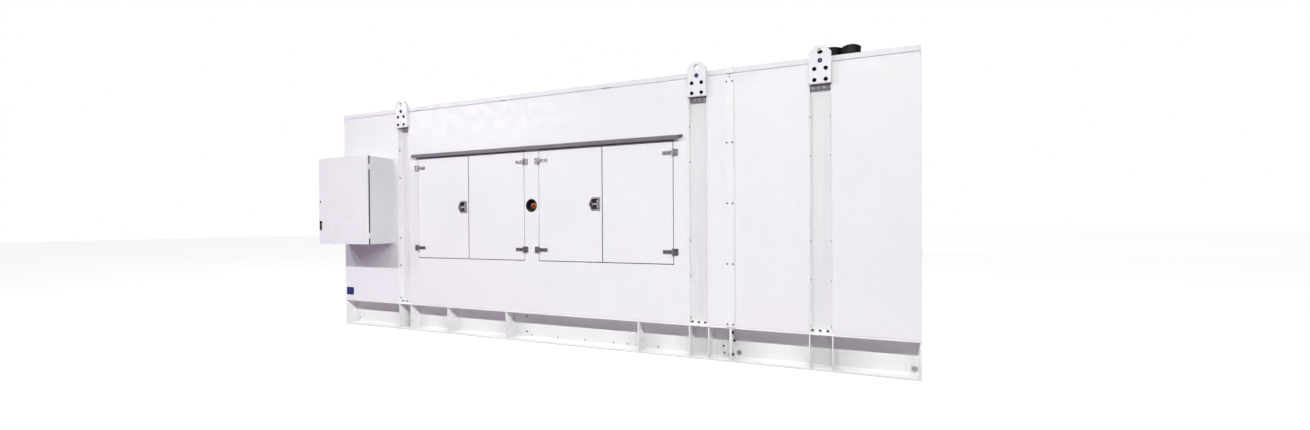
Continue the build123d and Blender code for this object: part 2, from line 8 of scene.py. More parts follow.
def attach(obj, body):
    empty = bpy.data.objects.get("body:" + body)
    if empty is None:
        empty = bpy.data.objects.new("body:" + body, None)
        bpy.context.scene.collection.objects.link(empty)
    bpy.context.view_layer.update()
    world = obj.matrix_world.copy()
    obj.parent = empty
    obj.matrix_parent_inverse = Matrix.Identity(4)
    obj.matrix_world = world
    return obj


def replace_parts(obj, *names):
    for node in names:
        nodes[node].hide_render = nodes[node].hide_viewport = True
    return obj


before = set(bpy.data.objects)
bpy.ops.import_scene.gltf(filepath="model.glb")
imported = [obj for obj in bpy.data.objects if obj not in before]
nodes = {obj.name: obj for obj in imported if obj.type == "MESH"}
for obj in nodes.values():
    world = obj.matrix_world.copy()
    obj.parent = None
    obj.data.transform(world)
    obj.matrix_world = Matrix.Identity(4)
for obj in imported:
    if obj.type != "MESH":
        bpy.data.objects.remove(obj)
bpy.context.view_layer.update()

# Camera: about 3.6 m from the doors at chest height, a little right of their middle, turned
# 18 degrees to the left with a very wide lens, so that the right end towers over the left one.
photo_width = 1310
photo_height = 430
focal_pixels = 422.82
middle_pixel = (699.25, 226.03)
camera_yaw = math.radians(18.322)
camera_pitch = math.radians(-0.370)
camera_roll = math.radians(-0.320)
camera_data = bpy.data.cameras.new("camera")
camera_data.sensor_width = 36
camera_data.lens = camera_data.sensor_width * focal_pixels / photo_width
camera_data.shift_x = (photo_width / 2 - middle_pixel[0]) / photo_width
camera_data.shift_y = (middle_pixel[1] - photo_height / 2) / photo_width
camera = bpy.data.objects.new("camera", camera_data)
camera.matrix_world = (
    Matrix.Translation((2.636, -4.735, 1.232))
    @ Matrix.Rotation(camera_yaw, 4, "Z")
    @ Matrix.Rotation(math.pi / 2 + camera_pitch, 4, "X")
    @ Matrix.Rotation(camera_roll, 4, "Z")
)
bpy.context.scene.collection.objects.link(camera)
bpy.context.scene.camera = camera

# Studio: an even white room with a pale floor. A row of small hall lamps hangs in front of the
# doors and draws the clear shadows under every ledge. A soft lamp lights each end and the rear,
# and broad lights fill in from above and behind.
room_light = 0.13
room_mirrored = 0.12
room_seen = 1.0
world = bpy.data.worlds.new("studio")
bpy.context.scene.world = world
world.use_nodes = True
room = world.node_tree
room.nodes.clear()
room_output = room.nodes.new("ShaderNodeOutputWorld")
room_path = room.nodes.new("ShaderNodeLightPath")
room_gloss = room.nodes.new("ShaderNodeMix")
room_gloss.inputs["A"].default_value = room_light
room_gloss.inputs["B"].default_value = room_mirrored
room.links.new(room_path.outputs["Is Glossy Ray"], room_gloss.inputs["Factor"])
room_level = room.nodes.new("ShaderNodeMix")
room.links.new(room_gloss.outputs["Result"], room_level.inputs["A"])
room_level.inputs["B"].default_value = room_seen
room_back = room.nodes.new("ShaderNodeBackground")
room_tint = room.nodes.new("ShaderNodeMix")
room_tint.data_type = "RGBA"
room_tint.inputs[6].default_value = (1.0, 0.86, 1.06, 1.0)
room_tint.inputs[7].default_value = (1.0, 1.0, 1.0, 1.0)
room.links.new(room_path.outputs["Is Camera Ray"], room_tint.inputs["Factor"])
room.links.new(room_tint.outputs[2], room_back.inputs["Color"])
room.links.new(room_path.outputs["Is Camera Ray"], room_level.inputs["Factor"])
room.links.new(room_level.outputs["Result"], room_back.inputs["Strength"])
room.links.new(room_back.outputs["Background"], room_output.inputs["Surface"])


def lamp(name, place, power, size, dip, tint, turn=0.0):
    """A round lamp aimed at one side, whose light doesn't weaken with distance."""
    data = bpy.data.lights.new(name, "AREA")
    data.shape = "DISK"
    data.size = size
    data.energy = power
    data.color = tint
    data.use_nodes = True
    tree = data.node_tree
    even = tree.nodes.new("ShaderNodeLightFalloff")
    even.inputs["Strength"].default_value = 1.0
    tree.links.new(even.outputs["Constant"], tree.nodes["Emission"].inputs["Strength"])
    made = bpy.data.objects.new(name, data)
    made.location = place
    made.rotation_euler = (math.pi / 2 - dip, 0, turn)
    made.visible_camera = False
    bpy.context.scene.collection.objects.link(made)


cool_tint = (1.0, 0.985, 1.015)
plain_tint = (0.985, 1.030, 0.975)
first_lamp_x = -5.789
lamp_pitch = 1.47
lamp_dip = math.radians(46)
cool_lamps = 4
hall_lamp_powers = (2.3, 2.55, 2.55, 1.4, 1.35, 2.3, 2.65, 2.15, 2.05)
for lamp_number, lamp_power in enumerate(hall_lamp_powers):
    lamp(f"hall_lamp_{lamp_number + 1}", (first_lamp_x + lamp_pitch * lamp_number, -3.95, 3.55),
         lamp_power, 0.15, lamp_dip, cool_tint if lamp_number < cool_lamps else plain_tint)

for soft_name, soft_place, soft_power, soft_size, soft_turn in (
    ("left_end_lamp", (-6.5, 1.4, 1.7), 3.0, 1.6, -90),
    ("right_end_lamp", (6.5, 1.4, 1.7), 3.0, 1.6, 90),
    ("rear_lamp", (0.0, 7.0, 2.9), 8.0, 3.0, 180),
):
    lamp(soft_name, soft_place, soft_power, soft_size, math.radians(5), plain_tint,
         math.radians(soft_turn))

for sky_name, sky_tilt, sky_power, sky_spread in (
    ("above", 8, 0.45, 75), ("behind", -58, 0.8, 60)
):
    sky_data = bpy.data.lights.new(sky_name, "SUN")
    sky_data.energy = sky_power
    sky_data.angle = math.radians(sky_spread)
    sky = bpy.data.objects.new(sky_name, sky_data)
    sky.rotation_euler = (math.radians(sky_tilt), 0, math.radians(-12))
    bpy.context.scene.collection.objects.link(sky)

floor_reach = 60
floor_mesh = bpy.data.meshes.new("studio_floor")
floor_mesh.from_pydata(
    [(-floor_reach, -floor_reach, 0), (floor_reach, -floor_reach, 0),
     (floor_reach, floor_reach, 0), (-floor_reach, floor_reach, 0)],
    [], [(0, 1, 2, 3)],
)
floor = bpy.data.objects.new("studio_floor", floor_mesh)
floor.location.z = -0.001
bpy.context.scene.collection.objects.link(floor)
floor_paint = bpy.data.materials.new("studio_floor")
floor_paint.use_nodes = True
floor_surface = floor_paint.node_tree.nodes["Principled BSDF"]
floor_tone = floor_paint.node_tree.nodes.new("ShaderNodeMix")
floor_tone.data_type = "RGBA"
floor_tone.inputs[6].default_value = (0.29, 0.235, 0.30, 1.0)
floor_tone.inputs[7].default_value = (0.24, 0.24, 0.24, 1.0)
floor_path = floor_paint.node_tree.nodes.new("ShaderNodeLightPath")
floor_glow = floor_paint.node_tree.nodes.new("ShaderNodeMath")
floor_glow.operation = "MULTIPLY"
floor_glow.inputs[1].default_value = 0.80
floor_paint.node_tree.links.new(floor_path.outputs["Is Camera Ray"], floor_glow.inputs[0])
floor_surface.inputs["Emission Color"].default_value = (1.0, 1.0, 1.0, 1.0)
floor_paint.node_tree.links.new(floor_glow.outputs[0], floor_surface.inputs["Emission Strength"])
floor_paint.node_tree.links.new(floor_path.outputs["Is Camera Ray"], floor_tone.inputs["Factor"])
floor_paint.node_tree.links.new(floor_tone.outputs[2], floor_surface.inputs["Base Color"])
floor_surface.inputs["Roughness"].default_value = 0.9
floor_mesh.materials.append(floor_paint)
bpy.context.scene.view_settings.view_transform = "Standard"


# Side rails of the base: deep welded steel channels for the two sections, open to the outside.
# They are blasted and powder coated white, with a fine orange peel and a little dust on ledges.
def effect(name, takes, gives):
    """An empty shader group with named inputs and outputs, and its two end nodes."""
    group = bpy.data.node_groups.new(name, "ShaderNodeTree")
    for label, value in takes.items():
        socket = group.interface.new_socket(
            label, in_out="INPUT", socket_type="NodeSocketFloat")
        socket.default_value = value
    for label in gives:
        group.interface.new_socket(label, in_out="OUTPUT", socket_type="NodeSocketFloat")
    return group, group.nodes.new("NodeGroupInput"), group.nodes.new("NodeGroupOutput")


def feed(tree, value, socket):
    """Sets a socket to a number or links another socket to it."""
    if isinstance(value, bpy.types.NodeSocket):
        tree.links.new(value, socket)
    else:
        socket.default_value = value


def sums(tree, operation, first, second=0.0, third=0.0):
    """One step of arithmetic on numbers or sockets."""
    step = tree.nodes.new("ShaderNodeMath")
    step.operation = operation
    for value, socket in zip((first, second, third), step.inputs):
        feed(tree, value, socket)
    return step.outputs["Value"]


def ramp(tree, value, low, high, to_low=0.0, to_high=1.0):
    """Spreads the part of a value between low and high smoothly over another range."""
    spread = tree.nodes.new("ShaderNodeMapRange")
    spread.interpolation_type = "SMOOTHSTEP"
    for label, number in (("Value", value), ("From Min", low), ("From Max", high),
                          ("To Min", to_low), ("To Max", to_high)):
        feed(tree, number, spread.inputs[label])
    return spread.outputs["Result"]


def noise(tree, scale, detail=2.0, stretch=(1.0, 1.0, 1.0)):
    """Noise fixed to the piece, with its scale per metre, squeezed by a stretch."""
    place = tree.nodes.new("ShaderNodeTexCoord")
    squeeze = tree.nodes.new("ShaderNodeMapping")
    squeeze.inputs["Scale"].default_value = stretch
    cloud = tree.nodes.new("ShaderNodeTexNoise")
    cloud.inputs["Detail"].default_value = detail
    feed(tree, scale, cloud.inputs["Scale"])
    tree.links.new(place.outputs["Object"], squeeze.inputs["Vector"])
    tree.links.new(squeeze.outputs["Vector"], cloud.inputs["Vector"])
    return cloud.outputs["Fac"]


powder, powder_in, powder_out = effect(
    "powder_skin", {"Grain": 240.0, "Wave": 0.6}, ("Height", "Mottle", "Gloss"))
peel = noise(powder, powder_in.outputs["Grain"], 3.0)
wave = sums(powder, "MULTIPLY", noise(powder, 1.3, 1.0), powder_in.outputs["Wave"])
powder.links.new(sums(powder, "MULTIPLY_ADD", peel, 0.12, wave), powder_out.inputs["Height"])
fine = sums(powder, "MULTIPLY", noise(powder, 34.0, 6.0), 0.55)
broad = sums(powder, "MULTIPLY_ADD", noise(powder, 1.7, 3.0), 0.45, fine)
powder.links.new(ramp(powder, broad, 0.38, 0.62), powder_out.inputs["Mottle"])
powder.links.new(ramp(powder, noise(powder, 9.0, 4.0), 0.35, 0.65), powder_out.inputs["Gloss"])

settled, settled_in, settled_out = effect(
    "settled_dirt", {"Dust": 0.3, "Runs": 0.1, "Splash": 0.0, "Splash Height": 0.3},
    ("Cover", "Splash"))
surface_way = settled.nodes.new("ShaderNodeNewGeometry")
split_way = settled.nodes.new("ShaderNodeSeparateXYZ")
settled.links.new(surface_way.outputs["Normal"], split_way.inputs["Vector"])
upward = ramp(settled, split_way.outputs["Z"], 0.5, 0.95)
patchy = ramp(settled, noise(settled, 5.0, 6.0), 0.3, 0.7, 0.35, 1.0)
lying = sums(settled, "MULTIPLY", sums(settled, "MULTIPLY", upward, patchy),
             settled_in.outputs["Dust"])
streak = ramp(settled, noise(settled, 9.0, 5.0, (1.0, 1.0, 0.06)), 0.56, 0.78)
upright = sums(settled, "SUBTRACT", 1.0, upward)
running = sums(settled, "MULTIPLY", sums(settled, "MULTIPLY", streak, upright),
               settled_in.outputs["Runs"])
surface_place = settled.nodes.new("ShaderNodeTexCoord")
split_place = settled.nodes.new("ShaderNodeSeparateXYZ")
settled.links.new(surface_place.outputs["Object"], split_place.inputs["Vector"])
near_ground = ramp(settled, split_place.outputs["Z"], 0.0,
                   settled_in.outputs["Splash Height"], 1.0, 0.0)
speckle = ramp(settled, noise(settled, 60.0, 5.0), 0.3, 0.7, 0.85, 1.0)
splash = sums(settled, "MULTIPLY", sums(settled, "MULTIPLY", near_ground, speckle),
              settled_in.outputs["Splash"])
settled.links.new(sums(settled, "ADD", lying, running), settled_out.inputs["Cover"])
settled.links.new(splash, settled_out.inputs["Splash"])


def effect_node(tree, group, **values):
    """A shader group placed in a material with its own values."""
    node = tree.nodes.new("ShaderNodeGroup")
    node.node_tree = group
    for label, value in values.items():
        node.inputs[label.replace("_", " ")].default_value = value
    return node


def blend_colours(tree, share, first, second):
    """Mixes two colours, or a colour and a socket, by a share."""
    mixed = tree.nodes.new("ShaderNodeMix")
    mixed.data_type = "RGBA"
    feed(tree, share, mixed.inputs["Factor"])
    for value, socket in ((first, mixed.inputs[6]), (second, mixed.inputs[7])):
        feed(tree, value if isinstance(value, bpy.types.NodeSocket) else (*value, 1.0), socket)
    return mixed.outputs[2]


def bumped(tree, height, depth):
    """A normal from a height, with the depth of its relief in metres."""
    bump = tree.nodes.new("ShaderNodeBump")
    bump.inputs["Distance"].default_value = depth
    bump.inputs["Strength"].default_value = 1.0
    feed(tree, height, bump.inputs["Height"])
    tree.links.new(bump.outputs["Normal"], tree.nodes["Principled BSDF"].inputs["Normal"])


dust_colour = (0.52, 0.49, 0.45)


def painted(name, colour, roughness=0.42, grain=240.0, relief=0.0022, wave=0.6, tone=0.035,
            dust=0.3, runs=0.06, splash=0.0, splash_height=0.35):
    """A powder coat on steel: orange peel, a slight wave in the sheet, mottle and dust."""
    finish = bpy.data.materials.new(name)
    finish.use_nodes = True
    tree = finish.node_tree
    surface = tree.nodes["Principled BSDF"]
    skin = effect_node(tree, powder, Grain=grain, Wave=wave)
    dirt = effect_node(tree, settled, Dust=dust, Runs=runs, Splash=splash,
                       Splash_Height=splash_height)
    darker = tuple(part * (1.0 - tone) for part in colour)
    clean = blend_colours(tree, skin.outputs["Mottle"], darker, colour)
    dulled = tuple(0.6 * part + 0.4 * grey for part, grey in zip(colour, dust_colour))
    dusty = blend_colours(tree, dirt.outputs["Cover"], clean, dulled)
    feed(tree, blend_colours(tree, dirt.outputs["Splash"], dusty,
                             tuple(0.66 * part for part in colour)),
         surface.inputs["Base Color"])
    shine = ramp(tree, skin.outputs["Gloss"], 0.0, 1.0, roughness - 0.05, roughness + 0.06)
    feed(tree, sums(tree, "MULTIPLY_ADD", dirt.outputs["Cover"], 0.3, shine),
         surface.inputs["Roughness"])
    bumped(tree, skin.outputs["Height"], relief)
    return finish


def coat(finish, *names):
    """Gives a finish to carried-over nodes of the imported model."""
    for name in names:
        for holder in nodes[name].material_slots:
            holder.material = finish


frame_paint = painted("frame_white", (0.91, 0.91, 0.905), 0.40, splash=0.8)
coat(frame_paint, "main_rails", "end_rails")


# Rail plates: flame-cut steel plates welded into the rails, each with three holes for tying
# pipes and cables, sniped clear of the rail's inner radius and painted with it.
def piece(name, work, finish, body, sharp=35):
    """Finishes a mesh as one object that rides on a body and takes the given finish."""
    bmesh.ops.recalc_face_normals(work, faces=work.faces)
    mesh = bpy.data.meshes.new(name)
    work.to_mesh(mesh)
    work.free()
    mesh.materials.append(finish)
    mesh.shade_smooth()
    mesh.set_sharp_from_angle(angle=math.radians(sharp))
    made = bpy.data.objects.new(name, mesh)
    bpy.context.scene.collection.objects.link(made)
    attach(made, body)
    return made


def round_points(centre, radius, sides):
    """Points round a circle in the flat."""
    turns = [2 * math.pi * step / sides for step in range(sides)]
    return [(centre[0] + radius * math.cos(turn), centre[1] + radius * math.sin(turn))
            for turn in turns]


def cut_sheet(work, corner, across, up, thickness, outline, holes=(), sides=14):
    """A flat sheet cut to an outline with round holes, with its thickness behind it."""
    corner, across, up = Vector(corner), Vector(across), Vector(up)
    rims = []
    for loop in [outline] + [round_points(hole[:2], hole[2], sides) for hole in holes]:
        dots = [work.verts.new(corner + across * u + up * v) for u, v in loop]
        rims += [work.edges.new((dots[n - 1], dots[n])) for n in range(len(dots))]
    filled = bmesh.ops.triangle_fill(work, edges=rims, use_beauty=True)["geom"]
    faces = [part for part in filled if isinstance(part, bmesh.types.BMFace)]
    grown = bmesh.ops.extrude_face_region(work, geom=faces)["geom"]
    bmesh.ops.translate(work, vec=across.cross(up) * thickness,
                        verts=[part for part in grown if isinstance(part, bmesh.types.BMVert)])


plate_outline = [(0.0, 0.012), (0.105, 0.012), (0.117, 0.024), (0.117, 0.286),
                 (0.105, 0.298), (0.0, 0.298)]
tie_holes = [(0.020, 0.106, 0.007), (0.020, 0.204, 0.007), (0.060, 0.157, 0.007)]
bolt_holes = [(0.020, 0.065, 0.009), (0.020, 0.259, 0.009), (0.077, 0.173, 0.009)]
plate_places = {
    "main_rail_plates": (
        (-3.240, bolt_holes), (-2.325, tie_holes), (-2.141, tie_holes), (-1.578, tie_holes),
        (-0.760, tie_holes), (0.808, tie_holes), (1.325, tie_holes), (1.509, tie_holes),
        (1.708, bolt_holes)),
    "end_rail_plates": (
        (1.718, bolt_holes), (2.393, tie_holes), (2.577, tie_holes), (3.230, bolt_holes)),
}
for plate_node, places in plate_places.items():
    work = bmesh.new()
    for plate_x, holes in places:
        cut_sheet(work, (plate_x, -1.097, 0), (0, 1, 0), (0, 0, 1), 0.010,
                  plate_outline, holes)
        cut_sheet(work, (plate_x + 0.010, 1.097, 0), (0, -1, 0), (0, 0, 1), 0.010,
                  plate_outline, holes)
    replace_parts(piece("drilled_" + plate_node, work, frame_paint, "housing"),
                plate_node)


# Joint bolts: the end plates of the two sections are drawn together with hexagon bolts, washers
# and nuts. The bright zinc heads are on the long section's side, the dark nuts on the short one's.
def turned(work, profile, foot, out, sides=20, hollow=False):
    """A turned part from (radius, distance along out) pairs, capped, or a ring if hollow."""
    foot, out = Vector(foot), Vector(out).normalized()
    across = out.orthogonal().normalized()
    up = out.cross(across)
    rings = []
    for radius, along in profile:
        centre = foot + out * along
        if radius == 0.0:
            rings.append([work.verts.new(centre)])
        else:
            rings.append([work.verts.new(centre + across * u + up * v)
                          for u, v in round_points((0, 0), radius, sides)])
    for low, high in zip(rings, rings[1:] + rings[:1] if hollow else rings[1:]):
        for n in range(sides):
            corners = []
            for dot in (low[n % len(low)], low[(n + 1) % sides % len(low)],
                        high[(n + 1) % sides % len(high)], high[n % len(high)]):
                if dot not in corners:
                    corners.append(dot)
            if len(corners) > 2:
                work.faces.new(corners)
    for ring in () if hollow else (rings[0], rings[-1]):
        if len(ring) > 1:
            work.faces.new(ring)


def washer(work, foot, out, size):
    turned(work, [(size * 0.62, 0.0), (size * 0.62, size * 0.08), (size * 0.59, size * 0.1)],
           foot, out)


def hex_head(work, foot, out, size):
    """A hexagon head on its washer; size is its width across the corners."""
    washer(work, foot, out, size)
    turned(work, [(size * 0.5, size * 0.1), (size * 0.5, size * 0.42), (size * 0.42, size * 0.5)],
           foot, out, 6)


def hex_nut(work, foot, out, size):
    """A nut on its washer with the bolt's end standing out of it."""
    hex_head(work, foot, out, size)
    turned(work, [(size * 0.27, size * 0.4), (size * 0.27, size * 0.68),
                  (size * 0.22, size * 0.74)], foot, out, 12)


brushed, brushed_in, brushed_out = effect(
    "brushed_grain", {"Grain": 500.0, "Across": 0.04}, ("Height", "Smudge", "Wear"))
lines = brushed.nodes.new("ShaderNodeTexNoise")
lines.inputs["Detail"].default_value = 3.0
line_place = brushed.nodes.new("ShaderNodeTexCoord")
line_way = brushed.nodes.new("ShaderNodeCombineXYZ")
line_way.inputs["X"].default_value = 1.0
line_way.inputs["Z"].default_value = 1.0
brushed.links.new(brushed_in.outputs["Across"], line_way.inputs["Y"])
line_squeeze = brushed.nodes.new("ShaderNodeVectorMath")
line_squeeze.operation = "MULTIPLY"
brushed.links.new(line_place.outputs["Object"], line_squeeze.inputs[0])
brushed.links.new(line_way.outputs["Vector"], line_squeeze.inputs[1])
brushed.links.new(line_squeeze.outputs["Vector"], lines.inputs["Vector"])
brushed.links.new(brushed_in.outputs["Grain"], lines.inputs["Scale"])
brushed.links.new(lines.outputs["Fac"], brushed_out.inputs["Height"])
brushed.links.new(ramp(brushed, noise(brushed, 26.0, 5.0), 0.35, 0.68),
                  brushed_out.inputs["Smudge"])
brushed.links.new(ramp(brushed, noise(brushed, 140.0, 3.0), 0.55, 0.75),
                  brushed_out.inputs["Wear"])


def bare_metal(name, colour, dull, roughness, relief=0.0004):
    """Bare or plated metal with a brushed grain, handling smudges and fine scratches."""
    finish = bpy.data.materials.new(name)
    finish.use_nodes = True
    tree = finish.node_tree
    surface = tree.nodes["Principled BSDF"]
    surface.inputs["Metallic"].default_value = 1.0
    grain = effect_node(tree, brushed)
    clean = blend_colours(tree, grain.outputs["Smudge"], colour, dull)
    feed(tree, blend_colours(tree, grain.outputs["Wear"], clean,
                             tuple(0.8 * part for part in dull)),
         surface.inputs["Base Color"])
    feed(tree, ramp(tree, grain.outputs["Smudge"], 0.0, 1.0, roughness, roughness + 0.16),
         surface.inputs["Roughness"])
    bumped(tree, grain.outputs["Height"], relief)
    return finish


zinc = bare_metal("zinc_plate", (0.52, 0.53, 0.56), (0.36, 0.37, 0.40), 0.38)
dark_zinc = bare_metal("dark_zinc", (0.10, 0.105, 0.10), (0.05, 0.055, 0.05), 0.45)
for bolt_name, bolt_part, bolt_x, bolt_way, bolt_finish in (
    ("joint_bolt_heads", hex_head, 1.708, -1, zinc),
    ("joint_bolt_nuts", hex_nut, 1.728, 1, dark_zinc),
):
    work = bmesh.new()
    for side in (-1, 1):
        for inset, height, radius in bolt_holes:
            bolt_part(work, (bolt_x, side * (1.097 - inset), height), (bolt_way, 0, 0), 0.026)
    piece(bolt_name, work, bolt_finish, "housing")

# Web fittings: low rubber plugs in the tapped holes of the rails' webs, and two turned steel
# drain plugs with hexagon sockets near the ends of the short section.
# Black rubber for the real seals and plugs, also used on the black sheets and strips that paint
# shade.
rubber = bpy.data.materials.new("black_rubber_and_shade")
rubber.use_nodes = True
rubber_skin = effect_node(rubber.node_tree, powder, Grain=420.0, Wave=0.1)
feed(rubber.node_tree,
     blend_colours(rubber.node_tree, rubber_skin.outputs["Mottle"], (0.012, 0.012, 0.013),
                   (0.024, 0.024, 0.025)),
     rubber.node_tree.nodes["Principled BSDF"].inputs["Base Color"])
feed(rubber.node_tree,
     ramp(rubber.node_tree, rubber_skin.outputs["Gloss"], 0.0, 1.0, 0.55, 0.72),
     rubber.node_tree.nodes["Principled BSDF"].inputs["Roughness"])
bumped(rubber.node_tree, rubber_skin.outputs["Height"], 0.0008)

web_plugs = (
    (-3.105, 0.078, 0.007), (-0.581, 0.238, 0.010), (-0.581, 0.071, 0.010),
    (-0.519, 0.039, 0.007), (-0.185, 0.039, 0.007), (0.145, 0.039, 0.007),
    (0.479, 0.039, 0.007), (0.634, 0.039, 0.007), (0.969, 0.039, 0.007),
    (1.623, 0.103, 0.009), (1.632, 0.041, 0.009),
)
work = bmesh.new()
for side in (-1, 1):
    for plug_x, plug_z, radius in web_plugs:
        turned(work, [(radius, 0.0), (radius, 0.0012), (radius * 0.7, 0.0024), (0.0, 0.003)],
               (plug_x, side * 0.980, plug_z), (0, side, 0), 16)
piece("web_plugs", work, rubber, "housing")

work = bmesh.new()
for side in (-1, 1):
    for plug_x in (1.770, 3.203):
        turned(work, [(0.0215, 0.0), (0.0215, 0.007), (0.0185, 0.0105), (0.0105, 0.0105)],
               (plug_x, side * 0.980, 0.057), (0, side, 0), 28)
        turned(work, [(0.0105, 0.0104), (0.0075, 0.0116), (0.0045, 0.0116), (0.0045, 0.0106),
                      (0.0, 0.0106)],
               (plug_x, side * 0.980, 0.057), (0, side, 0), 6)
piece("drain_plugs", work, zinc, "housing")

# Cross members and floor plates: rolled I-sections and checkered plate under the machine, in
# grey primer, hidden behind the rails and thick with shop dust.
base_paint = painted("base_grey", (0.24, 0.245, 0.255), 0.6, 160.0, 0.003, 0.3, 0.12, 0.55, 0.2)
coat(base_paint, "cross_members", "floor_plates")


# Lifting posts: pressed channels set into the wall with their open side out, in a white duller
# than the frame's that paints the shade on the faces of their recesses. Three dark bolts hold each
# foot, and button screws tie the wall trays to them.
def button_screw(work, foot, out, radius):
    """A low domed screw head with a socket."""
    turned(work, [(radius, 0.0), (radius * 0.97, radius * 0.25), (radius * 0.74, radius * 0.52),
                  (radius * 0.42, radius * 0.62), (radius * 0.42, radius * 0.3),
                  (0.0, radius * 0.3)], foot, out, 14)


# A duller copy of the frame's white: painted shade on the recess faces.
post_shaded_paint = painted("post_white_painted_shade", (0.845, 0.835, 0.850), 0.40)
coat(post_shaded_paint, "lifting_posts")
post_places = (-2.320, 1.330, 2.398)
work = bmesh.new()
tails = bmesh.new()
for side in (-1, 1):
    for post_x in post_places:
        for offset in (0.023, 0.084, 0.145):
            hex_head(work, (post_x + offset, side * 1.070, 0.324), (0, 0, 1), 0.024)
            hex_nut(tails, (post_x + offset, side * 1.070, 0.298), (0, 0, -1), 0.020)
piece("post_foot_bolts", work, dark_zinc, "housing")
piece("post_foot_nuts", tails, zinc, "housing")
work = bmesh.new()
for side in (-1, 1):
    for post_x in post_places:
        for height in (0.368, 0.753, 1.078, 1.790, 2.112):
            button_screw(work, (post_x + 0.008, side * 1.082, height), (1, 0, 0), 0.008)
            button_screw(work, (post_x + 0.176, side * 1.082, height), (-1, 0, 0), 0.008)
piece("post_screws", work, dark_zinc, "housing")


# Lifting lugs: thick flame-cut plates welded up both edges of each post, a little duller than
# the frame, with black sheets behind and inside their link holes that paint the shade in the
# post, and a plain blue disc on each front one.
def weld_bead(work, start, end, radius, step=0.007):
    """A rippled weld run between two points."""
    start, end = Vector(start), Vector(end)
    count = max(2, int((end - start).length / step))
    profile = [(radius * 0.4, 0.0)]
    for ripple in range(count):
        low = (end - start).length * ripple / count
        profile += [(radius * 0.86, low + step * 0.15), (radius, low + step * 0.55)]
    profile.append((radius * 0.4, (end - start).length))
    turned(work, profile, start, end - start, 8)


lug_paint = painted("lug_white", (0.815, 0.805, 0.83), 0.42, 300.0, 0.0022, 0.2, 0.03)
coat(lug_paint, "lifting_lugs")
work = bmesh.new()
for side in (-1, 1):
    for post_x in post_places:
        for edge_x in (0.0025, 0.1815):
            weld_bead(work, (post_x + edge_x, side * 1.1005, 2.378),
                      (post_x + edge_x, side * 1.1005, 2.596), 0.0042)
piece("lug_welds", work, lug_paint, "housing", 60)

# Black sheets in each post behind its lug and black rings in the link holes: painted shade.
work = bmesh.new()
for side in (-1, 1):
    for post_x in post_places:
        for corner, across, width in (
            ((post_x + 0.008, side * 1.0300, 2.388), (1, 0, 0), 0.168),
            ((post_x + 0.0095, side * 1.0285, 2.388), (0, side, 0), 0.064),
            ((post_x + 0.1745, side * 1.0285, 2.388), (0, side, 0), 0.064),
        ):
            shade_liner_outline = [(0.0, 0.0), (width, 0.0), (width, 0.160), (0.0, 0.160)]
            cut_sheet(work, corner, across, (0, 0, 1), 0.0015, shade_liner_outline)
        for hole_x in (post_x + 0.047, post_x + 0.137):
            for hole_z in (2.405, 2.495):
                turned(work, [(0.0166, 0.0), (0.0174, 0.0), (0.0174, 0.027), (0.0166, 0.027)],
                       (hole_x, side * 1.1275, hole_z), (0, -side, 0), 24, True)
piece("lug_shade_liners", work, rubber, "housing")

film_blue = bpy.data.materials.new("blue_film")
film_blue.use_nodes = True
film_skin = effect_node(film_blue.node_tree, powder, Grain=600.0, Wave=0.2)
feed(film_blue.node_tree,
     blend_colours(film_blue.node_tree, film_skin.outputs["Mottle"], (0.009, 0.014, 0.115),
                   (0.012, 0.019, 0.150)),
     film_blue.node_tree.nodes["Principled BSDF"].inputs["Base Color"])
feed(film_blue.node_tree,
     ramp(film_blue.node_tree, film_skin.outputs["Gloss"], 0.0, 1.0, 0.28, 0.4),
     film_blue.node_tree.nodes["Principled BSDF"].inputs["Roughness"])
bumped(film_blue.node_tree, film_skin.outputs["Height"], 0.0003)
work = bmesh.new()
for post_x in post_places:
    turned(work, [(0.020, 0.0), (0.020, 0.0004), (0.0194, 0.0008), (0.0, 0.0009)],
           (post_x + 0.092, -1.128, 2.560), (0, -1, 0), 32)
piece("lug_discs", work, film_blue, "housing")

# Wall panels: folded steel trays filled with sound-proofing, powder coated white with a faint
# lavender cast. A blank blue square of film is stuck low on the left one.
canopy_paint = painted("canopy_white", (0.818, 0.808, 0.832), 0.44, 260.0, 0.0022, 0.35, 0.03,
                       0.3, 0.05)
coat(canopy_paint, "front_left_wall", "front_right_walls", "front_sill_wall",
     "front_lintel_wall", "front_side_piers", "front_middle_pier", "rear_walls")
work = bmesh.new()
film_corners = []
for corner_x, corner_z, first_turn in (
    (0.113, 0.012, -90), (0.113, 0.083, 0), (0.012, 0.083, 90), (0.012, 0.012, 180)
):
    for step in range(5):
        turn = math.radians(first_turn + 22.5 * step)
        film_corners.append((corner_x + 0.012 * math.cos(turn),
                             corner_z + 0.012 * math.sin(turn)))
cut_sheet(work, (-3.220, -1.100, 0.368), (1, 0, 0), (0, 0, 1), 0.0006, film_corners)
piece("wall_film", work, film_blue, "housing")

# Joint cover strips: flat strips screwed over the gap between the two sections, in a white
# between the frame's and the walls', with a pair of dark screws at each of five heights.
strip_paint = painted("strip_white", (0.835, 0.828, 0.845), 0.38, 260.0, 0.0022, 0.3, 0.03)
coat(strip_paint, "joint_strips")
work = bmesh.new()
for side in (-1, 1):
    for screw_x in (1.694, 1.744):
        for height in (0.336, 0.871, 1.408, 1.944, 2.481):
            button_screw(work, (screw_x, side * 1.106, height), (0, side, 0), 0.0075)
piece("strip_screws", work, dark_zinc, "housing")
work = bmesh.new()
for step in range(9):
    for screw_x in (1.694, 1.744):
        button_screw(work, (screw_x, -1.0 + 0.25 * step, 2.606), (0, 0, 1), 0.0075)
piece("roof_strip_screws", work, dark_zinc, "housing")
